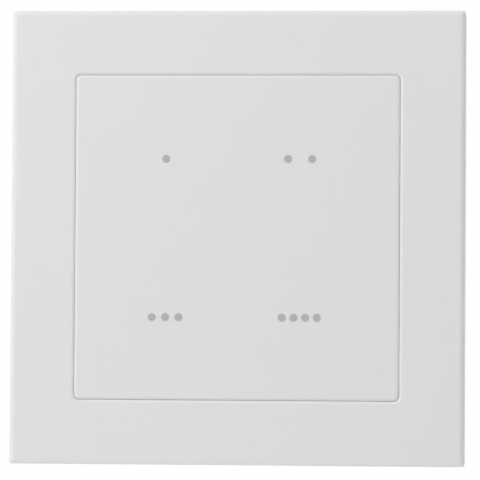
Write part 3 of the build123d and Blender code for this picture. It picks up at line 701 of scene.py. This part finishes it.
# Switches: four staked pegs hold each cover down, and each terminal sits in a fillet of solder
switch = {
    "pegRadius": 0.36 * mm, "pegHeight": 0.14 * mm, "pegInset": 0.55 * mm, "pegSides": 16, "pegRound": 0.7,
    "solderRadius": 0.55 * mm, "solderShape": (0.9, 0.9, 0.5), "smoothAngle": 40,
}
coverLow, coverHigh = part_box("switch_covers")
plungerBoxes = [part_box("plunger_" + str(number)) for number in (1, 2, 3, 4)]
switchCentres = [(low + high) / 2 for low, high in plungerBoxes]
halfCover = coverHigh.z - max(centre.z for centre in switchCentres) - switch["pegInset"]
pegs = []
for centre in switchCentres:
    for sideX, sideZ in corners:
        place = (
            centre.x + sideX * halfCover,
            coverLow.y - switch["pegHeight"] / 2,
            centre.z + sideZ * halfCover,
        )
        peg = addCylinder(switch["pegSides"], switch["pegRadius"], switch["pegHeight"], place)
        selectFaces(peg, lambda face: face.normal.y < -facing)
        bpy.ops.mesh.bevel(offset=switch["pegHeight"] * switch["pegRound"], segments=3, affect="EDGES")
        setMode("OBJECT")
        pegs.append(peg)
coverPegs = joinPieces(pegs, "coverPegs")
smoothFaces(coverPegs, angle=switch["smoothAngle"])
fitPiece(coverPegs, "wall_unit", "chip_resin", "chip_resin")

# A blob of solder is the half of a flattened ball that stands on the board
terminalLow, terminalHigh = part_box("switch_terminals")
footX = terminalHigh.x - max(centre.x for centre in switchCentres)
footZ = terminalHigh.z - max(centre.z for centre in switchCentres)
blobs = []
for centre in switchCentres:
    for sideX, sideZ in corners:
        bpy.ops.mesh.primitive_uv_sphere_add(
            segments=16, ring_count=10, radius=switch["solderRadius"], rotation=(pi / 2, 0, 0),
            location=(
                centre.x + sideX * (footX - switch["pegRadius"]),
                terminalHigh.y,
                centre.z + sideZ * (footZ - switch["solderRadius"] / 2),
            ),
        )
        blob = bpy.context.object
        blob.scale = switch["solderShape"]
        applyPlace(blob)
        selectFaces(blob, lambda face: face.center.y > terminalHigh.y)
        bpy.ops.mesh.delete(type="FACE")
        bpy.ops.mesh.select_mode(type="EDGE")
        bpy.ops.mesh.select_non_manifold()
        bpy.ops.mesh.edge_face_add()
        setMode("OBJECT")
        blobs.append(blob)
solderBlobs = joinPieces(blobs, "switchSolder")
smoothFaces(solderBlobs, angle=switch["smoothAngle"])
fitPiece(solderBlobs, "wall_unit", "shield_tin", "solder")
print("switch details ready")

# Snap domes: one for each switch, cut from the set of domes around its own switch.
domeReach = coverHigh.z - max(centre.z for centre in switchCentres)


def awayFrom(centre):
    return lambda face: max(abs(face.center.x - centre.x), abs(face.center.z - centre.z)) > domeReach


domes = []
for number, centre in enumerate(switchCentres, start=1):
    dome = copyNode("switch_domes", "snapDome" + str(number))
    selectFaces(dome, awayFrom(centre))
    bpy.ops.mesh.delete(type="VERT")
    setMode("OBJECT")
    smoothFaces(dome)
    fitPiece(dome, "wall_unit", "contact_metal", "contact_metal")
    domes.append(dome)
for number, dome in enumerate(domes, start=1):
    centre = switchCentres[number - 1]
    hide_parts("switch_domes")
    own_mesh(dome)
print("snap domes ready")

# Coin cell: a pressed cross that marks the positive side, inside a shallow ring
cellMark = {
    "arm": 4.2 * mm, "width": 0.9 * mm, "height": 0.08 * mm, "ringRadius": 7.6 * mm, "ringWidth": 0.25 * mm,
}
low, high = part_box("cell_can")
cellMiddle = (low + high) / 2
arms = []
for size in ((cellMark["arm"], cellMark["width"]), (cellMark["width"], cellMark["arm"])):
    place = (cellMiddle.x, high.y, cellMiddle.z)
    arm = addBlock(place, (size[0], 2 * cellMark["height"], size[1]))
    arms.append(arm)
plusSign, crossArm = arms
addModifier(plusSign, "BOOLEAN", operation="UNION", object=crossArm)
bpy.data.objects.remove(crossArm)
softenEdges(plusSign, cellMark["height"] / 2, segments=2)
bpy.ops.mesh.primitive_torus_add(
    major_segments=72, minor_segments=8, major_radius=cellMark["ringRadius"],
    minor_radius=cellMark["ringWidth"], location=(cellMiddle.x, high.y, cellMiddle.z),
    rotation=(pi / 2, 0, 0),
)
ring = bpy.context.object
applyPlace(ring)
editAll(ring)
bpy.ops.transform.resize(
    value=(1, cellMark["height"] / cellMark["ringWidth"], 1),
    center_override=(cellMiddle.x, high.y, cellMiddle.z),
)
setMode("OBJECT")
bpy.ops.object.shade_smooth()
cellMarks = joinPieces([plusSign, ring], "cellMarks")
fitPiece(cellMarks, "wall_unit", "cell_steel", "cell_steel")
print("cell marks ready")

# Wall plate: the witness rings that ejector pins leave in the pockets of its back
witness = {
    "radius": 2.0 * mm, "line": 0.12 * mm, "height": 0.05 * mm, "sides": 40, "pocketDepth": 0.8 * mm,
    "halfPitchX": 15.33 * mm, "halfPitchZ": 12.37 * mm,
}
rings = []
for sideX, sideZ in corners:
    place = (sideX * witness["halfPitchX"], -witness["pocketDepth"], sideZ * witness["halfPitchZ"])
    disc = addCylinder(witness["sides"], witness["radius"], 2 * witness["height"], place)
    selectFaces(disc, lambda face: face.normal.y > facing)
    bpy.ops.mesh.inset(thickness=witness["line"])
    bpy.ops.mesh.extrude_region_move(TRANSFORM_OT_translate={"value": (0, -witness["height"] / 2, 0)})
    setMode("OBJECT")
    rings.append(disc)
witnessRings = joinPieces(rings, "witnessRings")
smoothFaces(witnessRings)
fitPiece(witnessRings, "wall_unit", "plate_plastic", "plate_plastic")
print("witness rings ready")

# Camera, as the photograph was taken: from a little right of the button and a little above
cameraView = {
    "azimuth": 4.332, "elevation": 2.193, "roll": 0.383, "distance": 0.65,
    "target": (0.617 * mm, -13.5 * mm, -0.486 * mm), "focalPixels": 3525.0, "imagePixels": 480,
    "clipStart": 0.01,
}
turn = (
    Matrix.Rotation(radians(cameraView["azimuth"]), 4, "Z")
    @ Matrix.Rotation(radians(90 + cameraView["elevation"]), 4, "X")
    @ Matrix.Rotation(radians(cameraView["roll"]), 4, "Z")
)
eye = Vector(cameraView["target"]) + turn.to_3x3() @ Vector((0, 0, cameraView["distance"]))
bpy.ops.object.camera_add()
camera = bpy.context.object
camera.name = "photoCamera"
camera.data.angle = 2 * atan(cameraView["imagePixels"] / 2 / cameraView["focalPixels"])
camera.data.clip_start = cameraView["clipStart"]
camera.matrix_world = Matrix.Translation(eye) @ turn
bpy.context.scene.camera = camera
print("camera ready")

# Studio: soft panels, a surround that is white to the camera and in reflections, and a floor that is
# lifted towards white for the camera alone, so that it keeps its shadow
panels = {
    "panelSide": {"at": (-1.10, -0.25, 0.15), "size": (0.60, 0.60), "power": 0.50},
    "panelNear": {"at": (-0.42, -0.45, 0.35), "size": (0.25, 0.25), "power": 1.70},
    "panelLow": {"at": (0.00, -0.016, -0.11), "size": (0.14, 0.02), "power": 0.011},
}
for name, panel in panels.items():
    bpy.ops.object.light_add(type="AREA", location=panel["at"])
    lamp = bpy.context.object
    lamp.name = name
    lamp.data.shape = "ELLIPSE"
    lamp.data.size, lamp.data.size_y = panel["size"]
    lamp.data.energy = panel["power"]
    lamp.visible_camera = False
    lamp.rotation_euler = (-Vector(panel["at"])).to_track_quat("-Z", "Y").to_euler()

surround = {
    "ambient": 0.672, "floorSize": 2.4, "floorHeight": -0.12, "floorGlow": 0.37, "floorRoughness": 0.9,
    "floorColor": (0.8, 0.8, 0.8, 1), "white": (1, 1, 1, 1),
}
world = bpy.context.scene.world or bpy.data.worlds.new("surround")
bpy.context.scene.world = world
world.use_nodes = True
tree = world.node_tree
lightPath = tree.nodes.new("ShaderNodeLightPath")
seen = addMath(tree, "MAXIMUM")
seenThrough = addMath(tree, "MAXIMUM")
tree.links.new(lightPath.outputs["Is Camera Ray"], seen.inputs[0])
tree.links.new(lightPath.outputs["Is Glossy Ray"], seen.inputs[1])
tree.links.new(seen.outputs[0], seenThrough.inputs[0])
tree.links.new(lightPath.outputs["Is Transmission Ray"], seenThrough.inputs[1])
level = addNode(tree, "ShaderNodeMapRange", To_Min=surround["ambient"], To_Max=1.0)
tree.links.new(seenThrough.outputs[0], level.inputs["Value"])
background = tree.nodes["Background"]
background.inputs["Color"].default_value = surround["white"]
tree.links.new(level.outputs["Result"], background.inputs["Strength"])

bpy.ops.mesh.primitive_plane_add(size=surround["floorSize"], location=(0, 0, surround["floorHeight"]))
floor = bpy.context.object
floor.name = "studioFloor"
floorMaterial, tree, shader = newMaterial("studioFloor")
shader.inputs["Base Color"].default_value = surround["floorColor"]
shader.inputs["Roughness"].default_value = surround["floorRoughness"]
shader.inputs["Emission Color"].default_value = surround["white"]
floorPath = tree.nodes.new("ShaderNodeLightPath")
glow = addMath(tree, "MULTIPLY", surround["floorGlow"])
tree.links.new(floorPath.outputs["Is Camera Ray"], glow.inputs[0])
tree.links.new(glow.outputs[0], shader.inputs["Emission Strength"])
floor.data.materials.append(floorMaterial)
print("studio ready")

bpy.context.scene.view_settings.view_transform = "Standard"
